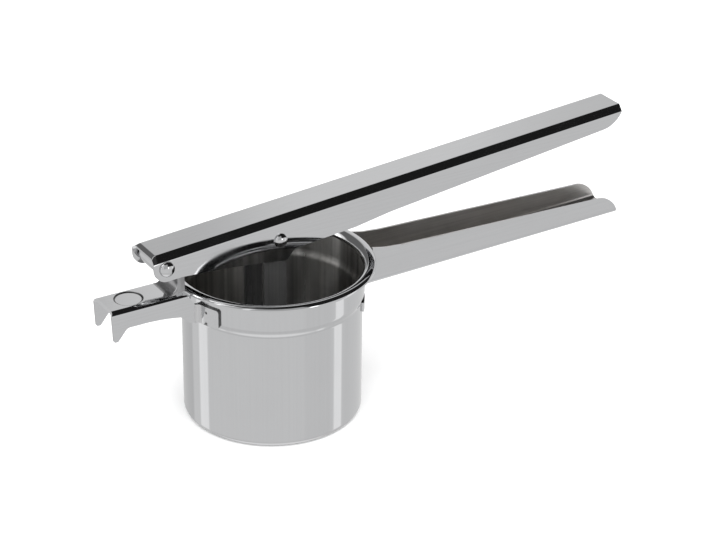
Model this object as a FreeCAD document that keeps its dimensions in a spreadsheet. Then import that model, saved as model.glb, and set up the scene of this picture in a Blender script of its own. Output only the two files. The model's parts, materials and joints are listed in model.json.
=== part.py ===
import FreeCAD, Part
import math
import os
import Sketcher

# A hand press for cooked potatoes, all of it pressed stainless steel sheet and rivets.
# Millimetres and degrees. The origin is the middle of the cup's underside, +Z is up, +X runs
# along the grips and the pot hook is at -X. The model is at rest, half open, as photographed.

SIZES = {
    # cup: a deep drawn pot with a perforated floor and a rolled rim
    "cup_radius": 44.0,
    "cup_sheet": 1.0,
    "cup_corner": 3.0,
    "shoulder_height": 59.4,
    "shoulder_rise": 5.3,
    "shoulder_step": 1.1,
    "rim_rise": 10.5,
    "rim_roll": 3.9,
    "rim_turn_angle": 67.4,
    "rim_curl": 1.5,
    "rim_curl_end": 10.0,
    "floor_hole": 3.0,
    "floor_hole_pitch": 6.3,
    # pot hook and its welded tabs
    "nose_width": 20.0,
    "nose_sheet": 1.2,
    "nose_bend": 3.0,
    "nose_rise": 3.15,
    "nose_front": 89.2,
    "nose_lip": 1.0,
    "nose_brow": 2.0,
    "nose_leg_lean": 0.6,
    "nose_leg_drop": 15.5,
    "nose_leg_tip": 2.2,
    "nose_tip_round": 1.0,
    "nose_leg_slant": 4.9,
    "nose_side_depth": 9.5,
    "nose_notch_run": 7.0,
    "nose_arch": 100.0,
    "nose_arch_fall": 2.0,
    "nose_root_run": 4.8,
    "nose_root_rise": 0.6,
    "nose_throat": 0.8,
    "nose_neck_gap": 0.2,
    "nose_neck_drop": 1.3,
    "recess_diameter": 14.6,
    "recess_depth": 0.8,
    "recess_setback": 12.4,
    "tab_sheet": 1.2,
    "tab_drop": 3.5,
    "tab_height": 9.7,
    "nose_tab_angle": 27.8,
    "handle_tab_angle": 21.0,
    "tab_corner": 1.5,
    "weld_dimple": 1.0,
    "weld_dimple_depth": 0.3,
    "weld_angle": 18.7,
    "weld_inset": 0.9,
    "weld_pitch": 5.7,
    # post that carries the lever's pivot
    "pivot_setback": 11.58,
    "post_rise": 16.65,
    "post_width": 16.0,
    "post_lean": 14.6,
    "post_foot_bend": 5.5,
    "post_edge_bend": 1.0,
    "post_flange": 2.2,
    "post_shelf": 7.0,
    "barrel_radius": 4.5,
    "barrel_play": 0.9,
    "barrel_round": 1.2,
    # upper lever
    "lever_rest_angle": 4.17,
    "lever_width": 23.0,
    "lever_sheet": 1.2,
    "lever_bend": 4.2,
    "lever_roof": 6.58,
    "lever_ear": 6.4,
    "lever_curl": 4.6,
    "lever_curl_start": 2.7,
    "lever_curl_angle": 37.5,
    "lever_length": 263.0,
    "lever_heel_place": 7.0,
    "lever_heel_drop": 6.5,
    "lever_neck_arc": 526.0,
    "lever_keel_place": 62.6,
    "lever_keel_drop": 16.0,
    "lever_keel_round": 1.5,
    "lever_step_place": 67.4,
    "lever_step_drop": 11.1,
    "lever_step_round": 4.0,
    "lever_belly_end": 101.5,
    "lever_belly_drop": 10.75,
    "lever_grip_start": 121.0,
    "lever_grip_start_drop": 8.85,
    "lever_tail": 12.0,
    "lever_tail_drop": 3.0,
    "lever_tail_round": 15.0,
    # lower handle
    "handle_width": 21.5,
    "handle_sheet": 1.2,
    "handle_bend": 3.0,
    "handle_floor_drop": 2.4,
    "handle_floor_from": 55.0,
    "handle_floor_rise": 1.03,
    "handle_wall_height": 17.6,
    "handle_wall_from": 67.0,
    "handle_wall_fall": 1.95,
    "handle_neck_rise": 1.0,
    "handle_neck_from": 57.0,
    "handle_root_rise": 1.5,
    "handle_root_from": 50.5,
    "handle_end": 200.7,
    "handle_end_run": 13.5,
    "handle_end_round": 13.0,
    "handle_waist_round": 18.0,
    "handle_overlap": 4.0,
    "handle_throat": 1.5,
    "handle_throat_drop": 1.0,
    "saddle_angle": 40.0,
    "saddle_height": 4.75,
    # plunger
    "pin_reach": 1.6,
    "pin_drop": 0.2,
    "disc_play": 1.5,
    "disc_sheet": 1.5,
    "disc_edge": 0.6,
    "disc_rest_height": 9.5,
    "disc_shift": 0.5,
    "yoke_sheet": 1.5,
    "yoke_play": 0.4,
    "yoke_bend": 2.5,
    "yoke_ear": 4.0,
    "yoke_back": 10.0,
    "yoke_shoulder_drop": 11.3,
    # rivets
    "pivot_shank": 2.5,
    "pivot_head": 3.9,
    "pivot_head_height": 2.0,
    "pin_shank": 2.2,
    "pin_head": 3.55,
    "pin_head_height": 1.8,
    "pin_spacer": 3.6,
    "spacer_round": 0.4,
    "small_shank": 1.5,
    "small_head": 2.6,
    "small_head_height": 0.9,
    "small_rivet_spread": 9.0,
    # clearances: a turning fit, a welded seat, a fit beside a moving wall
    "turning_fit": 0.05,
    "seat_gap": 0.05,
    "side_play": 0.1,
    "rim_play": 0.3,
}

# Rings of floor holes, how far a cutting outline and a drill run past the metal, and how
# far off an edge may lie and still be the one that is looked for
HOLE_RINGS = 6
OVERCUT = 20.0
THROUGH = 1.0
NEAR = 0.1
TOUCH = 0.01


class Size:
    """A size as the text of an expression, with its value now."""

    def __init__(self, text, value):
        self.text = text
        self.value = value

    def join(self, other, sign, value):
        """Return the two joined by an operator."""
        return Size(f"({self.text} {sign} {size_of(other).text})", value)

    def __add__(self, other):
        return self.join(other, "+", self.value + size_of(other).value)

    def __sub__(self, other):
        return self.join(other, "-", self.value - size_of(other).value)

    def __mul__(self, other):
        return self.join(other, "*", self.value * size_of(other).value)

    def __truediv__(self, other):
        return self.join(other, "/", self.value / size_of(other).value)

    def __rsub__(self, other):
        return size_of(other) - self

    def __rmul__(self, other):
        return self * other

    def __neg__(self):
        return Size(f"(0 - {self.text})", -self.value)


def size_of(number):
    """Return a size unchanged, and a plain number as a size."""
    if isinstance(number, Size):
        return number
    return Size(f"({number})", float(number))


def sine(angle):
    """Return the sine of a size in degrees."""
    return Size(f"sin({angle.text})", math.sin(math.radians(angle.value)))


def cosine(angle):
    """Return the cosine of a size in degrees."""
    return Size(f"cos({angle.text})", math.cos(math.radians(angle.value)))


doc = FreeCAD.newDocument("potato_press")
sheet = doc.addObject("Spreadsheet::Sheet", "Sizes")
for row, (alias, number) in enumerate(SIZES.items(), start=1):
    sheet.set(f"A{row}", alias)
    sheet.set(f"B{row}", str(number))
    sheet.setAlias(f"B{row}", alias)
doc.recompute()


def size(alias):
    """Return the sheet's cell of that name as a size."""
    return Size(f"Sizes.{alias}", SIZES[alias])


def bind(thing, name, value):
    """Tie a property to an expression."""
    thing.setExpression(name, size_of(value).text)


def new_body(label):
    """Add an empty body of that name."""
    body = doc.addObject("PartDesign::Body", label)
    body.Label = label
    return body


def new_sketch(body, name, role):
    """Add an empty sketch on one of the body's own origin planes."""
    sketch = body.newObject("Sketcher::SketchObject", name)
    plane = [item for item in body.Origin.OriginFeatures if item.Role == role][0]
    sketch.AttachmentSupport = [(plane, "")]
    sketch.MapMode = "FlatFace"
    return sketch


def edge_shape(start, end, bend):
    """Return a line, or an arc of radius bend: positive swells to the right of the way walked."""
    first = FreeCAD.Vector(start[0].value, start[1].value, 0)
    last = FreeCAD.Vector(end[0].value, end[1].value, 0)
    if bend is None:
        return Part.LineSegment(first, last)
    chord = last - first
    right = FreeCAD.Vector(chord.y, -chord.x, 0).normalize()
    if bend.value < 0:
        right = -right
    radius = abs(bend.value)
    swell = radius - math.sqrt(max(radius ** 2 - (chord.Length / 2) ** 2, 0))
    return Part.Arc(first, (first + last) * 0.5 + right * swell, last)


def outline(body, name, corners, role="XZ_Plane"):
    """Draw a closed outline. Each corner is (x, y), or (x, y, bend) where an arc leaves it."""
    sketch = new_sketch(body, name, role)
    points = [(size_of(corner[0]), size_of(corner[1])) for corner in corners]
    bends = [size_of(corner[2]) if len(corner) > 2 else None for corner in corners]
    count = len(points)
    ends = []
    for number in range(count):
        start = points[number]
        shape = edge_shape(start, points[(number + 1) % count], bends[number])
        edge = sketch.addGeometry(shape, False)
        at_start = FreeCAD.Vector(start[0].value, start[1].value, 0)
        forward = (sketch.getPoint(edge, 1) - at_start).Length < (sketch.getPoint(edge, 2) - at_start).Length
        ends.append((1, 2) if forward else (2, 1))
    for number in range(count):
        following = (number + 1) % count
        sketch.addConstraint(Sketcher.Constraint(
            "Coincident", number, ends[number][1], following, ends[following][0]))
    for number in range(count):
        for kind, part in (("DistanceX", 0), ("DistanceY", 1)):
            place = points[number][part]
            rule = sketch.addConstraint(
                Sketcher.Constraint(kind, -1, 1, number, ends[number][0], place.value))
            bind(sketch, f"Constraints[{rule}]", place)
        if bends[number] is not None:
            bend = bends[number] if bends[number].value > 0 else -bends[number]
            rule = sketch.addConstraint(Sketcher.Constraint("Radius", number, bend.value))
            bind(sketch, f"Constraints[{rule}]", bend)
    return sketch


def circle(body, name, x, y, radius, role="XZ_Plane"):
    """Draw one circle."""
    sketch = new_sketch(body, name, role)
    x, y, radius = size_of(x), size_of(y), size_of(radius)
    middle = FreeCAD.Vector(x.value, y.value, 0)
    edge = sketch.addGeometry(Part.Circle(middle, FreeCAD.Vector(0, 0, 1), radius.value), False)
    for kind, place in (("DistanceX", x), ("DistanceY", y)):
        rule = sketch.addConstraint(Sketcher.Constraint(kind, -1, 1, edge, 3, place.value))
        bind(sketch, f"Constraints[{rule}]", place)
    rule = sketch.addConstraint(Sketcher.Constraint("Radius", edge, radius.value))
    bind(sketch, f"Constraints[{rule}]", radius)
    return sketch


def prism(body, kind, name, sketch, width):
    """Pad or pocket a sketch by the same amount to both sides of its plane."""
    before = body.Shape.Volume if body.Tip else 0.0
    feature = body.newObject(f"PartDesign::{kind}", name)
    feature.Profile = sketch
    feature.SideType = "Symmetric"
    bind(feature, "Length", width)
    doc.recompute()
    grown = feature.Shape.Volume > before
    if grown != (kind == "Pad"):
        raise ValueError(f"{name} changed the solid the wrong way")
    return feature


def turned(body, kind, name, sketch, angle):
    """Revolve a sketch about the body's upright axis, evenly to both sides of its plane."""
    feature = body.newObject(f"PartDesign::{kind}", name)
    feature.Profile = sketch
    feature.ReferenceAxis = (sketch, ["V_Axis"])
    feature.Midplane = True
    bind(feature, "Angle", angle)
    doc.recompute()
    return feature


def soften(body, name, wanted, radius, kind="Fillet"):
    """Round the edges of the body for which wanted(middle, edge) is true."""
    tip = body.Tip
    names = [
        f"Edge{number}" for number, edge in enumerate(tip.Shape.Edges, start=1)
        if wanted(edge.valueAt((edge.FirstParameter + edge.LastParameter) / 2), edge)
    ]
    if not names:
        raise ValueError(f"{name} found no edge")
    feature = body.newObject(f"PartDesign::{kind}", name)
    feature.Base = (tip, names)
    bind(feature, "Radius" if kind == "Fillet" else "Size", radius)
    doc.recompute()
    return feature


def cross_edges(*corners):
    """Return a test for edges that run along Y through the given points of the side view."""
    def wanted(middle, edge):
        box = edge.BoundBox
        if box.YLength < NEAR or box.XLength > TOUCH or box.ZLength > TOUCH:
            return False
        return any(math.hypot(middle.x - x.value, middle.z - z.value) < NEAR for x, z in corners)
    return wanted


def side_edges(half_width, lowest, highest):
    """Return a test for edges that lie in both side faces at half_width, between two heights."""
    def wanted(middle, edge):
        box = edge.BoundBox
        flat = box.YLength < TOUCH and abs(abs(middle.y) - half_width.value) < TOUCH
        return flat and lowest.value < middle.z < highest.value
    return wanted


def place_tool(body, kind, name, radius, x, y, z, height=None):
    """Subtract a cylinder or a sphere at a place in the body."""
    feature = body.newObject(f"PartDesign::Subtractive{kind}", name)
    bind(feature, "Radius", radius)
    if height is not None:
        bind(feature, "Height", height)
    for axis, place in (("x", x), ("y", y), ("z", z)):
        bind(feature, f"Placement.Base.{axis}", place)
    doc.recompute()
    return feature


cup_top_radius = size("cup_radius") + size("shoulder_step")
seat_radius = cup_top_radius + size("seat_gap")
rim_middle = cup_top_radius - size("cup_sheet") + size("rim_roll")
shoulder_end = size("shoulder_height") + size("shoulder_rise")
rim_start = shoulder_end + size("rim_rise")
curl_reach = size("rim_roll") - size("rim_curl")
curl_middle = rim_middle + curl_reach * cosine(size("rim_turn_angle"))
rim_edge = curl_middle + size("rim_curl")
tab_top = rim_start - size("tab_drop")
tab_bottom = tab_top - size("tab_height")
nose_top = rim_start + size("nose_rise")
pivot_x = -(rim_edge + size("pivot_setback"))
pivot_z = nose_top + size("post_rise")
pin_x = -size("pin_reach")
pin_z = pivot_z - size("pin_drop")
rivet_x = (pin_x + size("yoke_ear") - size("yoke_back")) / 2
lever_inside = size("lever_width") - 2 * size("lever_sheet")
half_root = Size("sqrt(0.5)", math.sqrt(0.5))


def post_foot_middle():
    """Return the middle of the bend that turns the post up and lays it against the barrel."""
    bend = size("post_foot_bend")
    middle_z = nose_top + bend
    ahead = size("barrel_radius") - bend - (middle_z - pivot_z) * sine(size("post_lean"))
    return pivot_x + ahead / cosine(size("post_lean")), middle_z


def build_cup():
    """Cup: one wall profile turned about the middle, then rings of holes in the floor."""
    body = new_body("cup")
    wall = size("cup_sheet")
    corner = size("cup_corner")
    outer = size("cup_radius")
    inner = outer - wall
    half_step = size("shoulder_step") / 2
    half_rise = size("shoulder_rise") / 2
    shoulder_bend = (half_step * half_step + half_rise * half_rise) / (2 * half_step)
    shoulder_middle = size("shoulder_height") + half_rise
    rim_outer = size("rim_roll")
    rim_inner = rim_outer - wall
    turn_out = cosine(size("rim_turn_angle"))
    turn_up = sine(size("rim_turn_angle"))
    curl_height = rim_start + curl_reach * turn_up
    curl_outer = size("rim_curl")
    curl_inner = curl_outer - wall
    end_out = cosine(size("rim_curl_end"))
    end_down = sine(size("rim_curl_end"))
    profile = outline(body, "wall_profile", [
        (0, 0),
        (outer - corner, 0, corner),
        (outer, corner),
        (outer, size("shoulder_height"), -shoulder_bend),
        (outer + half_step, shoulder_middle, shoulder_bend),
        (cup_top_radius, shoulder_end),
        (cup_top_radius, rim_start, -rim_inner),
        (rim_middle + rim_inner * turn_out, rim_start + rim_inner * turn_up, -curl_inner),
        (curl_middle + curl_inner * end_out, curl_height - curl_inner * end_down),
        (curl_middle + curl_outer * end_out, curl_height - curl_outer * end_down, curl_outer),
        (rim_middle + rim_outer * turn_out, rim_start + rim_outer * turn_up, rim_outer),
        (cup_top_radius - wall, rim_start),
        (cup_top_radius - wall, shoulder_end, -shoulder_bend),
        (inner + half_step, shoulder_middle, shoulder_bend),
        (inner, size("shoulder_height")),
        (inner, corner, -(corner - wall)),
        (outer - corner, wall),
        (0, wall),
    ])
    turned(body, "Revolution", "wall", profile, 360)
    axis = [item for item in body.Origin.OriginFeatures if item.Role == "Z_Axis"][0]
    hole = circle(body, "middle_hole_outline", 0, 0, size("floor_hole") / 2, "XY_Plane")
    prism(body, "Pocket", "middle_hole", hole, 2 * wall)
    for ring in range(1, HOLE_RINGS + 1):
        hole = circle(body, f"ring_{ring}_outline", ring * size("floor_hole_pitch"), 0,
                      size("floor_hole") / 2, "XY_Plane")
        pocket = prism(body, "Pocket", f"ring_{ring}_hole", hole, 2 * wall)
        pattern = body.newObject("PartDesign::PolarPattern", f"ring_{ring}")
        pattern.Originals = [pocket]
        pattern.Axis = (axis, [""])
        pattern.Angle = 360
        pattern.Occurrences = 6 * ring
        body.Tip = pattern
        doc.recompute()
    return body


def add_tabs(body, side, angle):
    """Tabs: a band round the cup's upper part that a bracket's walls run into."""
    band = outline(body, "tab_band_outline", [
        (side * (seat_radius + size("tab_sheet")), tab_bottom),
        (side * cup_top_radius, tab_bottom),
        (side * cup_top_radius, tab_top),
        (side * (seat_radius + size("tab_sheet")), tab_top),
    ])
    turned(body, "Revolution", "tab_band", band, 2 * angle)

    def tab_end(middle, edge):
        span = math.degrees(math.atan2(abs(middle.y), abs(middle.x)))
        across_sheet = edge.Length < SIZES["tab_sheet"] + NEAR
        return abs(span - angle.value) < NEAR and edge.BoundBox.ZLength < TOUCH and across_sheet
    soften(body, "tab_corners", tab_end, size("tab_corner"))


def build_nose():
    """Pot hook: an inverted channel with two legs in front and tabs welded to the cup."""
    body = new_body("nose_bracket")
    top = nose_top
    slot_end = post_foot_middle()[0]
    roof_end = slot_end + size("post_foot_bend") - size("nose_sheet")
    front = -size("nose_front")
    lip = front - size("nose_lip")
    tip_z = top - size("nose_leg_drop")
    leg_x = lip + size("nose_leg_lean")
    tip_x = leg_x + size("nose_leg_tip")
    edge_z = top - size("nose_side_depth")
    notch = tip_x + size("nose_leg_slant")
    under = tab_bottom
    throat_x = -(seat_radius + size("tab_sheet") + size("nose_throat"))
    side = outline(body, "side_outline", [
        (front, top),
        (lip, top - size("nose_brow")),
        (leg_x, tip_z),
        (tip_x, tip_z),
        (notch, edge_z),
        (notch + size("nose_notch_run"), edge_z, -size("nose_arch")),
        (roof_end + size("nose_sheet"), edge_z - size("nose_arch_fall")),
        (-(cup_top_radius + size("nose_root_run")), under + size("nose_root_rise")),
        (-cup_top_radius, under),
        (-cup_top_radius, tab_top),
        (throat_x, tab_top),
        (-(rim_edge + size("nose_neck_gap")), top - size("nose_neck_drop")),
        (roof_end, top),
    ])
    prism(body, "Pad", "channel", side, size("nose_width"))
    soften(body, "leg_tips", cross_edges((leg_x, tip_z), (tip_x, tip_z)), size("nose_tip_round"))
    soften(body, "leg_notch", cross_edges((notch, edge_z)), size("nose_bend"))
    half = size("nose_width") / 2
    soften(body, "outer_bends", side_edges(half, top - NEAR, top + NEAR), size("nose_bend"))
    add_tabs(body, -1, size("nose_tab_angle"))
    hollow = outline(body, "hollow_outline", [
        (lip - OVERCUT, tip_z - OVERCUT),
        (-size("cup_radius") + OVERCUT, tip_z - OVERCUT),
        (-size("cup_radius") + OVERCUT, top + OVERCUT),
        (roof_end, top + OVERCUT),
        (roof_end, top - size("nose_sheet")),
        (lip - OVERCUT, top - size("nose_sheet")),
    ])
    inside = size("nose_width") - 2 * size("nose_sheet")
    prism(body, "Pocket", "hollow", hollow, inside)
    soften(body, "inner_bends",
           side_edges(inside / 2, top - size("nose_sheet") - NEAR, top - size("nose_sheet") + NEAR),
           size("nose_bend") - size("nose_sheet"))
    slot = outline(body, "post_slot_outline", [
        (slot_end, top - OVERCUT / 2),
        (roof_end + THROUGH, top - OVERCUT / 2),
        (roof_end + THROUGH, top + OVERCUT),
        (slot_end, top + OVERCUT),
    ])
    prism(body, "Pocket", "post_slot", slot, size("post_width"))
    recess_x = front + size("recess_setback")
    cushion = body.newObject("PartDesign::AdditiveCylinder", "recess_floor")
    bind(cushion, "Radius", size("recess_diameter") / 2 + size("recess_depth"))
    bind(cushion, "Height", size("nose_sheet"))
    bind(cushion, "Placement.Base.x", recess_x)
    bind(cushion, "Placement.Base.z", top - size("nose_sheet") - size("recess_depth"))
    doc.recompute()
    place_tool(body, "Cylinder", "recess", size("recess_diameter") / 2,
               recess_x, 0, top - size("recess_depth"), OVERCUT)
    reach = seat_radius + size("tab_sheet") + size("weld_dimple") - size("weld_dimple_depth")
    weld_low = tab_bottom + size("weld_inset")
    for level, weld_z in (("low", weld_low), ("high", weld_low + size("weld_pitch"))):
        for hand in (-1, 1):
            place_tool(body, "Sphere", f"weld_{level}_{'near' if hand < 0 else 'far'}",
                       size("weld_dimple"), -(reach * cosine(size("weld_angle"))),
                       hand * (reach * sine(size("weld_angle"))), weld_z)
    place_tool(body, "Cylinder", "cup_seat", seat_radius, 0, 0, tip_z - OVERCUT, 3 * OVERCUT)
    return body


def build_post():
    """Post: a narrow channel that turns up out of the hook's roof and leans against the barrel."""
    body = new_body("pivot_post")
    metal = size("nose_sheet")
    top = nose_top
    bend = size("post_foot_bend")
    ahead = cosine(size("post_lean"))
    upward = sine(size("post_lean"))
    middle_x, middle_z = post_foot_middle()
    back_bend = bend + metal
    flange_x = middle_x + back_bend * half_root
    flange_z = top + bend - back_bend * half_root
    flange_back = middle_x + back_bend + size("post_flange")
    shelf = size("post_shelf")
    barrel = size("barrel_radius")
    back = barrel + metal
    shelf_x = pivot_x + back * ahead + shelf * upward
    shelf_z = pivot_z + back * upward - shelf * ahead
    side = outline(body, "side_outline", [
        (middle_x, top - metal, back_bend),
        (flange_x, flange_z),
        (flange_back, flange_z),
        (flange_back, shelf_z - metal),
        (shelf_x, shelf_z),
        (pivot_x + back * ahead, pivot_z + back * upward),
        (pivot_x + barrel * ahead, pivot_z + barrel * upward),
        (middle_x + bend * ahead, middle_z + bend * upward, -bend),
        (middle_x, top),
    ])
    prism(body, "Pad", "channel", side, size("post_width"))

    def front_edges(middle, edge):
        flat = edge.BoundBox.YLength < TOUCH and abs(abs(middle.y) - SIZES["post_width"] / 2) < TOUCH
        reach = math.hypot(middle.x - middle_x.value, middle.z - middle_z.value)
        turning = abs(reach - bend.value) < TOUCH
        leaning = (middle.x - pivot_x.value) * ahead.value + (middle.z - pivot_z.value) * upward.value
        return flat and (turning or abs(leaning - barrel.value) < TOUCH)
    soften(body, "front_bends", front_edges, size("post_edge_bend"))
    hollow = outline(body, "hollow_outline", [
        (flange_x, flange_z, back_bend),
        (middle_x + back_bend * ahead, middle_z + back_bend * upward),
        (shelf_x, shelf_z),
        (shelf_x + metal, shelf_z + metal),
        (flange_back + metal, shelf_z),
        (flange_back + metal, flange_z - metal),
        (flange_x, flange_z - metal),
    ])
    prism(body, "Pocket", "hollow", hollow, size("post_width") - 2 * metal)
    return body


def across(label, corners, x, z):
    """Turn a body about its own axis and lay it across the press at a place."""
    body = new_body(label)
    profile = outline(body, "profile", corners)
    turned(body, "Revolution", "turned", profile, 360)
    body.Placement = FreeCAD.Placement(FreeCAD.Vector(), FreeCAD.Rotation(FreeCAD.Vector(1, 0, 0), 90))
    bind(body, "Placement.Base.x", x)
    bind(body, "Placement.Base.z", z)
    return body


def tube_corners(bore, outer, length, edge):
    """Return the outline of half a tube's wall, its outer rims rounded."""
    end = length / 2
    return [
        (bore, -end), (outer - edge, -end, edge), (outer, edge - end),
        (outer, end - edge, edge), (outer - edge, end), (bore, end),
    ]


def rivet_corners(shank, head, height, bottom, top):
    """Return the outline of half a rivet with domed heads below bottom and above top."""
    dome = (head * head + height * height) / (2 * height)
    return [
        (0, bottom - height, dome), (head, bottom), (shank, bottom),
        (shank, top), (head, top, dome), (0, top + height),
    ]


def build_lever():
    """Upper lever: an inverted channel, drawn level about its pivot and then tilted to rest."""
    body = new_body("upper_lever")
    metal = size("lever_sheet")
    bend = size("lever_bend")
    inner_bend = bend - metal
    half = size("lever_width") / 2
    inside = half - metal
    flat = half - bend
    roof = size("lever_roof")
    under_roof = roof - metal
    ear = size("lever_ear")
    length = size("lever_length")
    deep = -size("lever_keel_drop") - metal
    section = outline(body, "section_outline", [
        (half, deep),
        (half, roof - bend, bend),
        (flat, roof),
        (-flat, roof, bend),
        (-half, roof - bend),
        (-half, deep),
        (-inside, deep),
        (-inside, roof - bend, -inner_bend),
        (-flat, under_roof),
        (flat, under_roof, -inner_bend),
        (inside, roof - bend),
        (inside, deep),
    ], "YZ_Plane")
    channel = body.newObject("PartDesign::Pad", "channel")
    channel.Profile = section
    channel.SideType = "Two sides"
    bind(channel, "Length", length)
    bind(channel, "Length2", ear)
    doc.recompute()

    keel = (size("lever_keel_place"), -size("lever_keel_drop"))
    step = (size("lever_step_place"), -size("lever_step_drop"))
    below = outline(body, "lower_edge_outline", [
        (length, under_roof, -size("lever_tail_round")),
        (length - size("lever_tail"), -size("lever_tail_drop")),
        (size("lever_grip_start"), -size("lever_grip_start_drop")),
        (size("lever_belly_end"), -size("lever_belly_drop")),
        step,
        (*keel, size("lever_neck_arc")),
        (size("lever_heel_place"), -size("lever_heel_drop")),
        (0, -ear, -ear),
        (-ear, 0),
        (-ear - metal, 0),
        (-ear - metal, deep - metal),
        (length + metal, deep - metal),
        (length + metal, under_roof),
    ])
    prism(body, "Pocket", "lower_edge", below, 2 * size("lever_width"))
    soften(body, "keel_round", cross_edges(keel), size("lever_keel_round"))
    soften(body, "step_round", cross_edges(step), size("lever_step_round"))

    curl = size("lever_curl")
    curl_in = curl - metal
    curl_x = -size("lever_curl_start")
    curl_out = sine(size("lever_curl_angle"))
    curl_down = 1 - cosine(size("lever_curl_angle"))
    strip = outline(body, "curl_outline", [
        (curl_x, roof, curl),
        (curl_x - curl * curl_out, roof - curl * curl_down),
        (curl_x - curl_in * curl_out, under_roof - curl_in * curl_down, -curl_in),
        (curl_x, under_roof),
    ])
    prism(body, "Pad", "curl", strip, 2 * inside)
    ahead = outline(body, "front_outline", [
        (curl_x - curl * curl_out, roof - curl * curl_down, -curl),
        (curl_x, roof),
        (curl_x, roof + metal),
        (-ear - metal, roof + metal),
        (-ear - metal, roof - curl * curl_down - metal),
        (-ear, roof - curl * curl_down - metal),
    ])
    prism(body, "Pocket", "front", ahead, 2 * size("lever_width"))

    tilt_cos = cosine(size("lever_rest_angle"))
    tilt_sin = sine(size("lever_rest_angle"))
    pin_u = (pin_x - pivot_x) * tilt_cos + (pin_z - pivot_z) * tilt_sin
    pin_w = (pin_z - pivot_z) * tilt_cos - (pin_x - pivot_x) * tilt_sin
    for name, x, z, radius in (
            ("pivot_hole", 0, 0, size("pivot_shank")), ("pin_hole", pin_u, pin_w, size("pin_shank"))):
        hole = circle(body, f"{name}_outline", x, z, radius)
        prism(body, "Pocket", name, hole, 2 * size("lever_width"))
    body.Placement = FreeCAD.Placement(FreeCAD.Vector(), FreeCAD.Rotation(FreeCAD.Vector(0, -1, 0), 1))
    bind(body, "Placement.Base.x", pivot_x)
    bind(body, "Placement.Base.z", pivot_z)
    bind(body, "Placement.Rotation.Angle", size("lever_rest_angle"))
    return body


def build_handle():
    """Lower handle: an open channel with tabs welded round the cup."""
    body = new_body("lower_handle")
    metal = size("handle_sheet")
    rise = size("handle_floor_rise")
    slope = sine(rise) / cosine(rise)
    fall = sine(size("handle_wall_fall")) / cosine(size("handle_wall_fall"))
    end = size("handle_end")
    inner_end = size("cup_radius") - size("handle_overlap")
    floor = size("shoulder_height") - size("handle_floor_drop")
    root_floor = floor + slope * (inner_end - size("handle_floor_from"))
    end_floor = floor + slope * (end - size("handle_floor_from"))
    wall_top = floor + size("handle_wall_height")
    neck_top = wall_top + size("handle_neck_rise")
    end_top = wall_top - fall * (end - size("handle_end_run") - size("handle_wall_from"))
    side = outline(body, "side_outline", [
        (inner_end, root_floor),
        (end, end_floor),
        (end, end_floor + metal, size("handle_end_round")),
        (end - size("handle_end_run"), end_top),
        (size("handle_wall_from"), wall_top),
        (size("handle_neck_from"), neck_top),
        (size("handle_root_from"), neck_top + size("handle_root_rise")),
        (rim_edge + size("rim_play"), rim_start - size("handle_throat_drop")),
        (cup_top_radius + size("handle_throat"), tab_top),
        (inner_end, tab_top),
    ])
    prism(body, "Pad", "channel", side, size("handle_width"))
    soften(body, "wall_waist", cross_edges((size("handle_neck_from"), neck_top)), size("handle_waist_round"))

    def long_low_edges(half_width):
        def wanted(middle, edge):
            box = edge.BoundBox
            flat = box.YLength < TOUCH and abs(abs(middle.y) - half_width.value) < TOUCH
            low = middle.z < (floor.value + wall_top.value) / 2
            return flat and low and box.XLength > SIZES["handle_width"]
        return wanted
    soften(body, "outer_bends", long_low_edges(size("handle_width") / 2), size("handle_bend"))
    add_tabs(body, 1, size("handle_tab_angle"))
    hollow = outline(body, "hollow_outline", [
        (inner_end - OVERCUT, root_floor + metal - slope * OVERCUT),
        (end + OVERCUT, end_floor + metal + slope * OVERCUT),
        (end + OVERCUT, wall_top + OVERCUT),
        (inner_end - OVERCUT, wall_top + OVERCUT),
    ])
    inside = size("handle_width") - 2 * metal
    prism(body, "Pocket", "hollow", hollow, inside)
    soften(body, "inner_bends", long_low_edges(inside / 2), size("handle_bend") - metal)
    place_tool(body, "Cylinder", "cup_seat", seat_radius, 0, 0, 0, tab_top + OVERCUT)
    return body


def build_saddle():
    """Saddle: a curved plate between the cup's side and the handle's floor."""
    body = new_body("handle_saddle")
    inner = size("cup_radius") + size("seat_gap") / 2
    outer = seat_radius - size("seat_gap") / 2
    top = size("shoulder_height") - size("seat_gap")
    bottom = top - size("saddle_height")
    band = outline(body, "band_outline", [(inner, bottom), (outer, bottom), (outer, top), (inner, top)])
    turned(body, "Revolution", "band", band, 2 * size("saddle_angle"))
    return body


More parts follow.
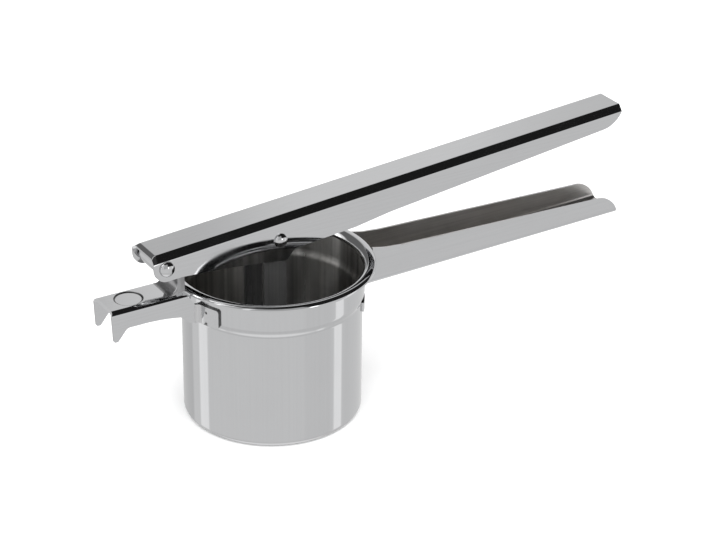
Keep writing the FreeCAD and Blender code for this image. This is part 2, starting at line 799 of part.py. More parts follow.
def build_yoke():
    """Yoke: an upright channel whose two straps hang on the lever's pin."""
    body = new_body("plunger_yoke")
    metal = size("yoke_sheet")
    ear = size("yoke_ear")
    base = size("disc_rest_height") + size("disc_sheet")
    width = lever_inside - 2 * size("yoke_play")
    back = -size("yoke_back")
    shoulder = pin_z - size("yoke_shoulder_drop")
    side = outline(body, "side_outline", [
        (back, base),
        (pin_x + ear, base),
        (pin_x + ear, pin_z, ear),
        (pin_x, pin_z + ear, ear),
        (pin_x - ear, pin_z),
        (back, shoulder),
    ])
    prism(body, "Pad", "block", side, width)
    soften(body, "shoulder_round", cross_edges((back, shoulder)), ear)
    soften(body, "outer_bends", side_edges(width / 2, base - NEAR, base + NEAR), size("yoke_bend"))
    inside = width - 2 * metal
    hollow = outline(body, "hollow_outline", [
        (back - OVERCUT, base + metal),
        (OVERCUT, base + metal),
        (OVERCUT, pin_z + OVERCUT),
        (back - OVERCUT, pin_z + OVERCUT),
    ])
    prism(body, "Pocket", "hollow", hollow, inside)
    soften(body, "inner_bends", side_edges(inside / 2, base + metal - NEAR, base + metal + NEAR),
           size("yoke_bend") - metal)
    pin = circle(body, "pin_hole_outline", pin_x, pin_z, size("pin_shank") + size("turning_fit"))
    prism(body, "Pocket", "pin_hole", pin, 2 * width)
    for hand in (-1, 1):
        place_tool(body, "Cylinder", f"rivet_hole_{'near' if hand < 0 else 'far'}", size("small_shank"),
                   rivet_x, hand * size("small_rivet_spread") / 2, base - THROUGH, metal + 2 * THROUGH)
    return body


def build_disc():
    """Disc: the round plate that presses, with a softened edge."""
    body = new_body("plunger_disc")
    metal = size("disc_sheet")
    edge = size("disc_edge")
    radius = size("cup_radius") - size("cup_sheet") - size("disc_play")
    profile = outline(body, "profile", [
        (0, 0), (radius - edge, 0, edge), (radius, edge), (radius, metal - edge, edge),
        (radius - edge, metal), (0, metal),
    ])
    turned(body, "Revolution", "plate", profile, 360)
    for hand in (-1, 1):
        place_tool(body, "Cylinder", f"rivet_hole_{'near' if hand < 0 else 'far'}", size("small_shank"),
                   rivet_x - size("disc_shift"), hand * size("small_rivet_spread") / 2, -THROUGH,
                   metal + 2 * THROUGH)
    bind(body, "Placement.Base.x", size("disc_shift"))
    bind(body, "Placement.Base.z", size("disc_rest_height"))
    return body


def build_yoke_rivets():
    """Yoke rivets: the pair that holds the yoke's foot on the disc."""
    pieces = []
    for hand in (-1, 1):
        body = new_body(f"yoke_rivet_{'near' if hand < 0 else 'far'}")
        bottom = size("disc_rest_height")
        top = bottom + size("disc_sheet") + size("yoke_sheet")
        profile = outline(body, "profile", rivet_corners(
            size("small_shank"), size("small_head"), size("small_head_height"), bottom, top))
        turned(body, "Revolution", "turned", profile, 360)
        bind(body, "Placement.Base.x", rivet_x)
        bind(body, "Placement.Base.y", hand * size("small_rivet_spread") / 2)
        pieces.append(body)
    group = doc.addObject("Part::Compound", "yoke_rivets")
    group.Label = "yoke_rivets"
    group.Links = pieces
    return group


half_lever = size("lever_width") / 2
yoke_inside = lever_inside - 2 * size("yoke_play") - 2 * size("yoke_sheet")
nodes = [
    build_cup(),
    build_nose(),
    build_post(),
    across("pivot_barrel", tube_corners(
        size("pivot_shank") + size("turning_fit"), size("barrel_radius"),
        lever_inside - 2 * size("barrel_play"), size("barrel_round")), pivot_x, pivot_z),
    build_handle(),
    build_saddle(),
    build_lever(),
    across("pivot_rivet", rivet_corners(
        size("pivot_shank"), size("pivot_head"), size("pivot_head_height"), -half_lever, half_lever),
        pivot_x, pivot_z),
    across("plunger_rivet", rivet_corners(
        size("pin_shank"), size("pin_head"), size("pin_head_height"), -half_lever, half_lever),
        pin_x, pin_z),
    build_yoke(),
    across("plunger_spacer", tube_corners(
        size("pin_shank") + size("turning_fit"), size("pin_spacer"),
        yoke_inside - 2 * size("side_play"), size("spacer_round")), pin_x, pin_z),
    build_disc(),
    build_yoke_rivets(),
]
doc.recompute()

for item in doc.Objects:
    if "Invalid" in item.State or "Error" in item.State:
        raise ValueError(f"{item.Label} is {item.State}")
for node in nodes:
    if node.Shape.isNull() or not node.Shape.isValid():
        raise ValueError(f"{node.Label} has no valid shape")

os.makedirs("parts", exist_ok=True)
for node in nodes:
    node.Shape.exportStep(f"parts/{node.Label}.step")
    print(node.Label, len(node.Shape.Solids), round(node.Shape.Volume, 1), node.Shape.BoundBox)
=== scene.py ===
"""A polished steel potato press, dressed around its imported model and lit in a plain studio.

The press is a perforated cup with a pot hook, a fixed grip and a riveted lever that drives a
plunger into the cup. Each sub-assembly is a class that builds its meshes and dresses them.
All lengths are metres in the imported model's own frame: +Z up, +X along the grips.
"""

import json
import logging
import math
from collections.abc import Iterable
from dataclasses import dataclass, field
from enum import Enum
from typing import Any, ClassVar

import bmesh
import bpy
from mathutils import Matrix, Vector

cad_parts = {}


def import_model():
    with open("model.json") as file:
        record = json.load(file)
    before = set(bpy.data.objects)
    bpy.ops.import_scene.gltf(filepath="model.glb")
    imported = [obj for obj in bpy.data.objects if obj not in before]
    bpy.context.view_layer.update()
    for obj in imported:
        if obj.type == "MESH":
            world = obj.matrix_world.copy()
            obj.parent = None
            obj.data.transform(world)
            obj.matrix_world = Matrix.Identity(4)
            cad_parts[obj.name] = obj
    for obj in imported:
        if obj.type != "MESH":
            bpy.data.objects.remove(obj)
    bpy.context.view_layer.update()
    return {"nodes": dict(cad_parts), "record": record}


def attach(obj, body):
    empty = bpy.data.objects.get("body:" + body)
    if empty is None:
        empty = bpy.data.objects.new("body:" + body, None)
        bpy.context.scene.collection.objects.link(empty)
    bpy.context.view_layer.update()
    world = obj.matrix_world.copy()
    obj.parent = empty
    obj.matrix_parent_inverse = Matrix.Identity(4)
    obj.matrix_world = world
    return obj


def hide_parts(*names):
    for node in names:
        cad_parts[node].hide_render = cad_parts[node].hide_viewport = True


LOG = logging.getLogger("potato_press")
MM = 0.001
# Points nearer than the weld are made one. A place may be off by the slack and still count.
WELD = 0.002 * MM
SLACK = 0.01 * MM
UP = Vector((0.0, 0.0, 1.0))
ACROSS = Vector((0.0, 1.0, 0.0))


class Grain(Enum):
    """The way that the polishing lines of a finish run, as the scale of the pattern along X, Y and Z."""

    LENGTHWISE = (0.012, 1.0, 1.0)
    UPRIGHT = (1.0, 1.0, 0.008)
    CROSSWISE = (1.0, 0.03, 1.0)


@dataclass(frozen=True)
class SteelFinish:
    """A stainless steel surface.

    Attributes:
        name: Material name.
        slot: Slot of the record that the finish belongs to.
        tint: Base colour of the steel, linear.
        roughness: Roughness between the smudges.
        smudge: How much rougher a smudge is.
        grain: The way that the polishing lines run.
        line_pitch: Width of one polishing line.
        line_depth: Bump distance of the polishing lines.
        line_shade: How far the lines darken the steel.
        ripple_depth: Bump distance of the slow waviness of the pressed sheet.
        anisotropy: How far the lines stretch a reflection, across the grain.
        turn: Turn of that stretch, as a share of a full turn.
        scratches: Share of the steel that fine scratches cover.
        metal: Share of clean metal, where the rest is a dull film.
    """

    name: str
    slot: str
    tint: tuple[float, float, float] = (0.603, 0.606, 0.614)
    roughness: float = 0.035
    smudge: float = 0.05
    grain: Grain = Grain.LENGTHWISE
    line_pitch: float = 0.9 * MM
    line_depth: float = 0.0007 * MM
    line_shade: float = 0.05
    ripple_depth: float = 0.006 * MM
    anisotropy: float = 0.0
    turn: float = 0.0
    scratches: float = 0.3
    metal: float = 1.0


class Nodes:
    """Adds shader nodes to one tree."""

    def __init__(self, tree: bpy.types.NodeTree) -> None:
        """Keep the tree and empty it.

        Args:
            tree: The node tree to build in.
        """
        self.tree = tree
        tree.nodes.clear()

    def add(self, kind: str, settings: dict[str, Any] | None = None, **links: Any) -> bpy.types.Node:
        """Add a node, set it up and fill its sockets.

        Args:
            kind: The node's type.
            settings: Properties of the node, set before its sockets are.
            **links: A value or a socket for each input, by name with spaces as underscores, or
                by number as i0, i1 and so on.

        Returns:
            The new node.
        """
        node = self.tree.nodes.new(kind)
        for name, value in (settings or {}).items():
            setattr(node, name, value)
        for name, value in links.items():
            numbered = name[0] == "i" and name[1:].isdigit()
            socket = node.inputs[int(name[1:]) if numbered else name.replace("_", " ")]
            if isinstance(value, Signal):
                value = value.socket
            if isinstance(value, bpy.types.NodeSocket):
                self.tree.links.new(value, socket)
            else:
                socket.default_value = value
        return node

    def signal(self, kind: str, output: str | int = 0, settings: dict[str, Any] | None = None,
               **links: Any) -> "Signal":
        """Add a node and return one of its outputs for shader maths.

        Args:
            kind: The node's type.
            output: Name or number of the output.
            settings: Properties of the node.
            **links: As for add.

        Returns:
            The output as a signal.
        """
        return Signal(self, self.add(kind, settings, **links).outputs[output])


class Signal:
    """A value socket that Python operators work on."""

    def __init__(self, nodes: Nodes, socket: bpy.types.NodeSocket) -> None:
        """Wrap a socket.

        Args:
            nodes: The builder that the maths nodes are added with.
            socket: The socket that gives the value.
        """
        self.nodes = nodes
        self.socket = socket

    def math(self, operation: str, *others: "Signal | float") -> "Signal":
        """Return a Math node's result with this value first.

        Args:
            operation: The Math node's operation.
            *others: The other operands.

        Returns:
            The result.
        """
        operands = {f"i{number}": other for number, other in enumerate(others, start=1)}
        return self.nodes.signal("ShaderNodeMath", 0, {"operation": operation}, i0=self, **operands)

    def __add__(self, other: "Signal | float") -> "Signal":
        """Return the sum."""
        return self.math("ADD", other)

    def __sub__(self, other: "Signal | float") -> "Signal":
        """Return the difference."""
        return self.math("SUBTRACT", other)

    def __mul__(self, other: "Signal | float") -> "Signal":
        """Return the product."""
        return self.math("MULTIPLY", other)

    def __rsub__(self, other: float) -> "Signal":
        """Return a number less this value."""
        return self.math("MULTIPLY", -1.0).math("ADD", other)

    __radd__ = __add__
    __rmul__ = __mul__

    def rise(self, low: float, high: float) -> "Signal":
        """Return 0 below low, 1 above high and a smooth rise between.

        Args:
            low: Value where the rise starts.
            high: Value where it ends.

        Returns:
            The smoothed step.
        """
        return self.nodes.signal(
            "ShaderNodeMapRange", 0, {"interpolation_type": "SMOOTHSTEP"},
            Value=self, From_Min=low, From_Max=high)

    def band(self, low: float, high: float, soft: float) -> "Signal":
        """Return 1 between two values and 0 outside, with soft edges.

        Args:
            low: Lower edge.
            high: Upper edge.
            soft: Width of each edge.

        Returns:
            The band.
        """
        return self.rise(low - soft / 2, low + soft / 2) * (1 - self.rise(high - soft / 2, high + soft / 2))


@dataclass
class Steel:
    """Makes and keeps the materials of the press.

    An onset is the pair of noise values between which a mark fades in.

    Attributes:
        smudge_size: Width of a smudge.
        smudge_onset: Onset of the smudges.
        ripple_size: Width of the pressed sheet's slow waves.
        scratch_pitch: Width of a scratch across its run.
        scratch_grain: How the scratches are drawn out along X, Y and Z, where less is longer.
        scratch_onset: Onset of the scratches.
        line_onset: Onset of the dulling by the polishing lines.
        line_roughness: How far the lines change the roughness, as a share of it.
        smudge_shade: How far a smudge dulls the steel, as a share of what the lines do.
        dull_share: Colour of fully dulled steel, as a share of the tint.
        made: The materials made so far, by name.
    """

    smudge_size: float = 24 * MM
    smudge_onset: tuple[float, float] = (0.46, 0.68)
    ripple_size: float = 19 * MM
    scratch_pitch: float = 1.6 * MM
    scratch_grain: tuple[float, float, float] = (0.05, 1.0, 0.6)
    scratch_onset: tuple[float, float] = (0.64, 0.7)
    line_onset: tuple[float, float] = (0.35, 0.7)
    line_roughness: float = 0.4
    smudge_shade: float = 0.4
    dull_share: float = 0.55
    made: dict[str, bpy.types.Material] = field(default_factory=dict)

    def material(self, finish: SteelFinish) -> bpy.types.Material:
        """Return the material of a finish, made at its first use.

        Args:
            finish: The finish wanted.

        Returns:
            The material.
        """
        if finish.name not in self.made:
            self.made[finish.name] = self.make(finish)
        return self.made[finish.name]

    def make(self, finish: SteelFinish) -> bpy.types.Material:
        """Build the node tree of a finish.

        Polishing lines, scratches and smudges change the roughness, the lines and the slow
        waviness of the sheet bend the reflections, and lines and smudges dull the colour a little.

        Args:
            finish: The finish to build.

        Returns:
            The new material.
        """
        material = bpy.data.materials.new(finish.name)
        material.use_nodes = True
        nodes = Nodes(material.node_tree)
        place = nodes.add("ShaderNodeTexCoord").outputs["Object"]

        def noise(size: float, detail: float,
                  stretch: tuple[float, float, float] = (1.0, 1.0, 1.0)) -> Signal:
            """Return noise over the piece.

            Args:
                size: Width of its marks.
                detail: Octaves of finer marks within them.
                stretch: How it is drawn out along X, Y and Z, where less is longer.

            Returns:
                The noise, from 0 to 1.
            """
            scale = tuple(share / size for share in stretch)
            spread = nodes.add("ShaderNodeMapping", None, Vector=place, Scale=scale)
            return nodes.signal("ShaderNodeTexNoise", "Fac", None, Vector=spread.outputs[0],
                                Scale=1.0, Detail=detail)

        lines = noise(finish.line_pitch, 3.0, finish.grain.value)
        smudges = noise(self.smudge_size, 3.0).rise(*self.smudge_onset)
        ripple = noise(self.ripple_size, 1.0)
        scratched = noise(self.scratch_pitch, 1.0, self.scratch_grain).rise(*self.scratch_onset)
        roughness = (finish.roughness + smudges * finish.smudge
                     + scratched * finish.scratches * finish.smudge
                     + (lines - 0.5) * (self.line_roughness * finish.roughness))
        dull = (lines.rise(*self.line_onset) * finish.line_shade
                + smudges * (self.smudge_shade * finish.line_shade))
        colour = nodes.add("ShaderNodeMix", {"data_type": "RGBA"}, i0=dull, i6=(*finish.tint, 1.0),
                           i7=(*(share * self.dull_share for share in finish.tint), 1.0))
        waves = nodes.add("ShaderNodeBump", None, Height=ripple, Strength=1.0, Distance=finish.ripple_depth)
        bump = nodes.add("ShaderNodeBump", None, Height=lines, Strength=1.0, Distance=finish.line_depth,
                         Normal=waves.outputs[0])
        shader = nodes.add(
            "ShaderNodeBsdfPrincipled", None, Base_Color=colour.outputs[2], Metallic=finish.metal,
            Roughness=roughness, Anisotropic=finish.anisotropy, Anisotropic_Rotation=finish.turn,
            Normal=bump.outputs[0])
        nodes.add("ShaderNodeOutputMaterial", None, Surface=shader.outputs[0])
        return material


def straight(start: Vector, end: Vector, steps: int) -> list[Vector]:
    """Return points from start to end, without the end."""
    return [start.lerp(end, step / steps) for step in range(steps)]


def arc(middle: Vector, radius: float, start: float, end: float, steps: int) -> list[Vector]:
    """Return points of an arc in the plane of X and Z, angles in degrees from +X towards +Z."""
    turns = (math.radians(start + (end - start) * step / steps) for step in range(steps + 1))
    return [middle + radius * Vector((math.cos(turn), 0.0, math.sin(turn))) for turn in turns]


def bowed(start: Vector, end: Vector, radius: float, steps: int) -> list[Vector]:
    """Return an arc between two points of the plane of X and Z.

    Args:
        start: Where it starts.
        end: Where it ends, which is left out.
        radius: Its radius, positive where it bows to the left on the way, else negative.
        steps: Number of its chords.

    Returns:
        The points.
    """
    ahead = (end - start).normalized()
    left = Vector((-ahead.z, 0.0, ahead.x)) * math.copysign(1.0, radius)
    size = abs(radius)
    reach = math.asin((end - start).length / (2 * size))
    middle = (start + end) / 2 - left * size * math.cos(reach)
    turns = (reach * (2 * step / steps - 1) for step in range(steps))
    return [middle + size * (ahead * math.sin(turn) + left * math.cos(turn)) for turn in turns]


def rounded(before: Vector, corner: Vector, after: Vector, radius: float, steps: int) -> list[Vector]:
    """Return the round that takes a corner off an outline in the plane of X and Z.

    Args:
        before: The outline's point before the corner.
        corner: The corner.
        after: The point after it.
        radius: Radius of the round.
        steps: Number of its chords.

    Returns:
        The points of the round with both its ends.
    """
    back, on = (before - corner).normalized(), (after - corner).normalized()
    run = radius / math.tan(back.angle(on) / 2)
    start, end = corner + back * run, corner + on * run
    turns_left = back.x * on.z - back.z * on.x < 0
    return [*bowed(start, end, -radius if turns_left else radius, steps), end]


@dataclass
class Assembly:
    """A sub-assembly of the press: what its pieces share.

    Attributes:
        steel: The maker of materials.
        cad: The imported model's objects by node name.
    """

    steel: Steel
    cad: dict[str, bpy.types.Object]

    def copy(self, node: str) -> bmesh.types.BMesh:
        """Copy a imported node's mesh and merge its points.

        Args:
            node: Name of the node.

        Returns:
            The copy.
        """
        shape = bmesh.new()
        shape.from_mesh(self.cad[node].data)
        bmesh.ops.remove_doubles(shape, verts=shape.verts, dist=WELD)
        return shape

    def finish(self, shape: bmesh.types.BMesh, name: str, body: str, nodes: Iterable[str],
               finishes: Iterable[SteelFinish], sharp: float = 30.0) -> bpy.types.Object:
        """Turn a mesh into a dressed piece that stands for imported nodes.

        Args:
            shape: The mesh, which is freed.
            name: Name of the piece.
            body: The body that it rides on.
            nodes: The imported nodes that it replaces.
            finishes: Its finishes, in the order of the faces' material numbers.
            sharp: Angle in degrees above which an edge stays sharp.

        Returns:
            The piece.
        """
        for face in shape.faces:
            face.smooth = True
        for edge in shape.edges:
            edge.smooth = edge.calc_face_angle(math.pi) < math.radians(sharp)
        mesh = bpy.data.meshes.new(name)
        shape.to_mesh(mesh)
        shape.free()
        piece = bpy.data.objects.new(name, mesh)
        bpy.context.scene.collection.objects.link(piece)
        normals = piece.modifiers.new("flat_faces", "WEIGHTED_NORMAL")
        normals.keep_sharp = True
        normals.mode = "FACE_AREA"
        for finish in finishes:
            mesh.materials.append(self.steel.material(finish))
        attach(piece, body)
        for node in nodes:
            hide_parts(node)
        next(iter(finishes)).slot
        LOG.info("%s: %d faces on %s", name, len(mesh.polygons), body)
        return piece

    def spun(self, outline: list[Vector], axis: Vector, steps: int, shape: bmesh.types.BMesh | None = None,
             middle: Vector = Vector()) -> bmesh.types.BMesh:
        """Spin an outline a full turn about an axis.

        Args:
            outline: The points to join and spin.
            axis: Direction of the axis.
            steps: Number of steps in the turn.
            shape: The mesh to add to, or None for a new one.
            middle: A point of the axis.

        Returns:
            The mesh.
        """
        shape = shape or bmesh.new()
        verts = [shape.verts.new(point) for point in outline]
        edges = [shape.edges.new(pair) for pair in zip(verts, verts[1:])]
        bmesh.ops.spin(shape, geom=[*verts, *edges], cent=middle, axis=axis, angle=math.tau, steps=steps,
                       use_merge=True, use_duplicate=False)
        bmesh.ops.remove_doubles(shape, verts=shape.verts, dist=WELD)
        return shape


@dataclass
class Cup(Assembly):
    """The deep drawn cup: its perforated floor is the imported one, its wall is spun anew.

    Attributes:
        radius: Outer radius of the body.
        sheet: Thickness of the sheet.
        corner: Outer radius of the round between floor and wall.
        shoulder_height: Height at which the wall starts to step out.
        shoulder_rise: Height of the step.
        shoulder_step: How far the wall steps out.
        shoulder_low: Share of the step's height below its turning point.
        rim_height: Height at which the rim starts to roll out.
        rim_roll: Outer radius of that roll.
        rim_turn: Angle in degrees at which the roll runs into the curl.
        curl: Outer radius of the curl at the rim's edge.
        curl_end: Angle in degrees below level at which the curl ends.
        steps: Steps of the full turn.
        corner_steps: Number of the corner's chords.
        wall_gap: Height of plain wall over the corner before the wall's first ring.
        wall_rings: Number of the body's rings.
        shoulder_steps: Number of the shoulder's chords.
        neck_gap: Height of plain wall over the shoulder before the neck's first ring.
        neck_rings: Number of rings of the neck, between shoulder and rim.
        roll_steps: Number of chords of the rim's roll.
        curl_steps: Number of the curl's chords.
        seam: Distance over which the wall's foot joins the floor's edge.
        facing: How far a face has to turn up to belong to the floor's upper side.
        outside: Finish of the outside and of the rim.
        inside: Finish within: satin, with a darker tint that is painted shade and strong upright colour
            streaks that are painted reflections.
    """

    radius: float = 44.0 * MM
    sheet: float = 1.0 * MM
    corner: float = 3.0 * MM
    shoulder_height: float = 59.4 * MM
    shoulder_rise: float = 5.3 * MM
    shoulder_step: float = 1.1 * MM
    shoulder_low: float = 0.34
    rim_height: float = 75.2 * MM
    rim_roll: float = 3.9 * MM
    rim_turn: float = 67.4
    curl: float = 1.5 * MM
    curl_end: float = 10.0
    steps: int = 224
    corner_steps: int = 12
    wall_gap: float = 6.0 * MM
    wall_rings: int = 6
    shoulder_steps: int = 16
    neck_gap: float = 3.0 * MM
    neck_rings: int = 2
    roll_steps: int = 22
    curl_steps: int = 10
    seam: float = 0.04 * MM
    facing: float = 0.5
    outside: SteelFinish = SteelFinish(
        "cup_polish", "cup_steel", grain=Grain.UPRIGHT, line_shade=0.03, ripple_depth=0.004 * MM)
    # Within the cup the darker tint is painted shade, and the strong upright colour streaks are painted
    # reflections.
    inside: SteelFinish = SteelFinish(
        "cup_inside_painted_shade", "cup_steel", tint=(0.52, 0.512, 0.495), roughness=0.3, grain=Grain.UPRIGHT,
        line_pitch=4.0 * MM, line_depth=0.004 * MM, line_shade=1.0, ripple_depth=0.0, anisotropy=1.0,
        turn=0.25, scratches=0.0)

    @property
    def floor_radius(self) -> float:
        """Return the radius of the flat floor."""
        return self.radius - self.corner

    def wall(self, inset: float) -> list[Vector]:
        """Return the wall's outline from the floor's corner to the end of the rim's curl.

        Args:
            inset: Depth under the outer face, 0 for the outside and the sheet for the inside.

        Returns:
            The points, from the floor up.
        """
        outer = self.radius - inset
        top = outer + self.shoulder_step
        points = arc(Vector((self.floor_radius, 0.0, self.corner)), self.corner - inset, -90, 0,
                     self.corner_steps)
        points += straight(Vector((outer, 0.0, self.corner + self.wall_gap)),
                           Vector((outer, 0.0, self.shoulder_height)), self.wall_rings)
        points += self.shoulder(outer)
        points += straight(Vector((top, 0.0, self.shoulder_height + self.shoulder_rise + self.neck_gap)),
                           Vector((top, 0.0, self.rim_height)), self.neck_rings)
        bend = Vector((self.radius + self.shoulder_step - self.sheet + self.rim_roll, 0.0, self.rim_height))
        points += arc(bend, self.rim_roll - self.sheet + inset, 180, self.rim_turn, self.roll_steps)[:-1]
        turn = math.radians(self.rim_turn)
        rest = self.rim_roll - self.curl
        curl = bend + rest * Vector((math.cos(turn), 0.0, math.sin(turn)))
        points += arc(curl, self.curl - self.sheet + inset, self.rim_turn, -self.curl_end, self.curl_steps)
        return points

    def shoulder(self, outer: float) -> list[Vector]:
        """Return the step that the wall makes outwards, as two parabolas that meet.

        Args:
            outer: Radius of the wall below it.

        Returns:
            The points, from below up.
        """
        low = self.shoulder_low * self.shoulder_rise
        high = self.shoulder_rise - low
        points = []
        for step in range(self.shoulder_steps + 1):
            height = self.shoulder_rise * step / self.shoulder_steps
            if height < low:
                share = self.shoulder_low * (height / low) ** 2
            else:
                share = 1 - (1 - self.shoulder_low) * ((self.shoulder_rise - height) / high) ** 2
            points.append(Vector((outer + self.shoulder_step * share, 0.0, self.shoulder_height + height)))
        return points

    def floor(self) -> bmesh.types.BMesh:
        """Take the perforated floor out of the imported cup.

        Its edge is split once, where it has to meet the wall's points.

        Returns:
            The floor.
        """
        shape = self.copy("cup")
        wall = [face for face in shape.faces
                if any(vert.co.xy.length > self.floor_radius + SLACK for vert in face.verts)]
        bmesh.ops.delete(shape, geom=wall, context="FACES")
        ring = [edge for edge in shape.edges if edge.is_boundary]
        split = bmesh.ops.subdivide_edges(shape, edges=ring, cuts=1)["geom_inner"]
        for vert in (item for item in split if isinstance(item, bmesh.types.BMVert)):
            flat = Vector((vert.co.x, vert.co.y, 0.0))
            vert.co += flat * (self.floor_radius / flat.length - 1)
        return shape

    def mark_inside(self, shape: bmesh.types.BMesh) -> None:
        """Give the floor's upper side and the wall's inner side the finish of the inside.

        Args:
            shape: The cup's mesh.
        """
        for face in shape.faces:
            middle = face.calc_center_median()
            on_floor = middle.z < 2 * self.sheet and face.normal.z > self.facing
            on_wall = middle.xy.length > self.floor_radius and middle.z < self.rim_height
            inward = face.normal.xy.dot(middle.xy) < 0
            face.material_index = int(on_floor or (on_wall and inward))

    def build(self) -> None:
        """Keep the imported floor, spin the wall onto it and dress the cup."""
        shape = self.floor()
        floor_faces = set(shape.faces)
        outline = self.wall(0.0) + self.wall(self.sheet)[::-1]
        self.spun(outline, UP, self.steps, shape)
        bmesh.ops.remove_doubles(shape, verts=shape.verts, dist=self.seam)
        spun_faces = [face for face in shape.faces if face not in floor_faces]
        bmesh.ops.recalc_face_normals(shape, faces=spun_faces)
        self.mark_inside(shape)
        self.finish(shape, "cup_piece", "frame", ["cup"], [self.outside, self.inside])


@dataclass
class PotHook(Assembly):
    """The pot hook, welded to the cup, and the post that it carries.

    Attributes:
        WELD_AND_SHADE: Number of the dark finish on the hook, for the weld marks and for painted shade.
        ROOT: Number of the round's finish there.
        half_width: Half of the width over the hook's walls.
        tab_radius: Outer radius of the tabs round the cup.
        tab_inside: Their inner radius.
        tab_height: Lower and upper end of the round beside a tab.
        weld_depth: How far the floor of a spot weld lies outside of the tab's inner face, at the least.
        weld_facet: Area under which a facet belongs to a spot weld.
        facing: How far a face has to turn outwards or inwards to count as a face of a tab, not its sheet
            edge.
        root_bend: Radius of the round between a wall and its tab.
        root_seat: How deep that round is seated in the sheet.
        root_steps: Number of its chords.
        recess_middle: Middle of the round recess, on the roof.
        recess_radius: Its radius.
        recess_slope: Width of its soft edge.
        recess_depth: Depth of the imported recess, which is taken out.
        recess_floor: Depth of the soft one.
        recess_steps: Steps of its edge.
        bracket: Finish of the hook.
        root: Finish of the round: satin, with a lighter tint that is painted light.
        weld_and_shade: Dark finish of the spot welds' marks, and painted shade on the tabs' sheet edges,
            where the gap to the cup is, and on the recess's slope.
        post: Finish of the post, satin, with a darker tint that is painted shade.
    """

    WELD_AND_SHADE: ClassVar[int] = 1
    ROOT: ClassVar[int] = 2

    half_width: float = 10.0 * MM
    tab_radius: float = 46.35 * MM
    tab_inside: float = 45.1 * MM
    tab_height: tuple[float, float] = (62.05 * MM, 71.65 * MM)
    weld_depth: float = 0.6 * MM
    weld_facet: float = 1.2 * MM ** 2
    facing: float = 0.5
    root_bend: float = 3.0 * MM
    root_seat: float = 0.4 * MM
    root_steps: int = 14
    recess_middle: tuple[float, float, float] = (-76.8 * MM, 0.0, 78.35 * MM)
    recess_radius: float = 7.3 * MM
    recess_slope: float = 1.1 * MM
    recess_depth: float = 0.8 * MM
    recess_floor: float = 0.42 * MM
    recess_steps: int = 8
    bracket: SteelFinish = SteelFinish("bracket_polish", "bracket_steel")
    # The round is satin, and its lighter tint than the rest of the steel is painted light.
    root: SteelFinish = SteelFinish(
        "root_satin_lightened", "bracket_steel", tint=(0.66, 0.66, 0.665), roughness=0.34, smudge=0.08,
        grain=Grain.UPRIGHT, line_depth=0.001 * MM, line_shade=0.12)
    # Dark finish: the welds' own marks, and painted shade along the tabs' sheet edges and in the recess.
    weld_and_shade: SteelFinish = SteelFinish(
        "weld_and_shade_edge", "bracket_steel", tint=(0.16, 0.16, 0.16), roughness=0.35)
    # The post is the same steel as the hook; its darker tint is painted shade.
    post: SteelFinish = SteelFinish(
        "post_satin_shaded", "bracket_steel", tint=(0.42, 0.42, 0.425), roughness=0.3,
        grain=Grain.UPRIGHT, line_depth=0.004 * MM, line_shade=0.3)

    def round_root(self, shape: bmesh.types.BMesh) -> None:
        """Fill the hollow where each wall of the hook runs into its tab with a round.

        Args:
            shape: The hook's mesh.
        """
        low, high = self.tab_height
        middle_y = self.half_width + self.root_bend
        middle_x = -math.sqrt((self.tab_radius + self.root_bend) ** 2 - middle_y ** 2)
        middle = Vector((middle_x, middle_y, 0.0))
        first, last = math.radians(-90), math.atan2(-middle_y, -middle_x)
        turns = (first + (last - first) * step / self.root_steps for step in range(self.root_steps + 1))
        hollow = [middle + self.root_bend * Vector((math.cos(turn), math.sin(turn), 0.0)) for turn in turns]
        seat_radius = self.tab_radius - self.root_seat
        seat_y = self.half_width - self.root_seat
        seat = [hollow[-1] * (seat_radius / self.tab_radius),
                Vector((-math.sqrt(seat_radius ** 2 - seat_y ** 2), seat_y, 0.0)),
                Vector((middle_x, seat_y, 0.0))]
        for side in (1, -1):
            verts = [shape.verts.new((point.x, side * point.y, low)) for point in hollow + seat]
            edges = [shape.edges.new(pair) for pair in zip(verts, verts[1:] + verts[:1])]
            foot = bmesh.ops.edgeloop_fill(shape, edges=edges)["faces"]
            grown = bmesh.ops.extrude_face_region(shape, geom=foot, use_keep_orig=True)["geom"]
            top = [item for item in grown if isinstance(item, bmesh.types.BMVert)]
            bmesh.ops.translate(shape, vec=(0, 0, high - low), verts=top)
            for face in {face for vert in top for face in vert.link_faces}:
                face.material_index = self.ROOT
        bmesh.ops.recalc_face_normals(shape, faces=shape.faces)

    def soften_recess(self, shape: bmesh.types.BMesh) -> None:
        """Press the roof's round recess with a soft edge, whose middle is painted dark as painted shade.

        Args:
            shape: The hook's mesh.
        """
        middle = Vector(self.recess_middle)
        reach = self.recess_radius + SLACK

        def pressed(vert: bmesh.types.BMVert) -> bool:
            """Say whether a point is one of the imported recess."""
            away = vert.co - middle
            return away.xy.length < reach and -self.recess_depth - WELD < away.z < WELD

        old = [face for face in shape.faces if all(pressed(vert) for vert in face.verts)]
        bmesh.ops.delete(shape, geom=old, context="FACES")
        ring = [edge for edge in shape.edges if edge.is_boundary]
        last_radius, last_depth = self.recess_radius, 0.0
        for step in range(1, self.recess_steps + 1):
            share = step / self.recess_steps
            radius = self.recess_radius - self.recess_slope * share
            depth = self.recess_floor * share * share * (3 - 2 * share)
            grown = bmesh.ops.extrude_edge_only(shape, edges=ring)["geom"]
            ring = [item for item in grown if isinstance(item, bmesh.types.BMEdge) and item.is_boundary]
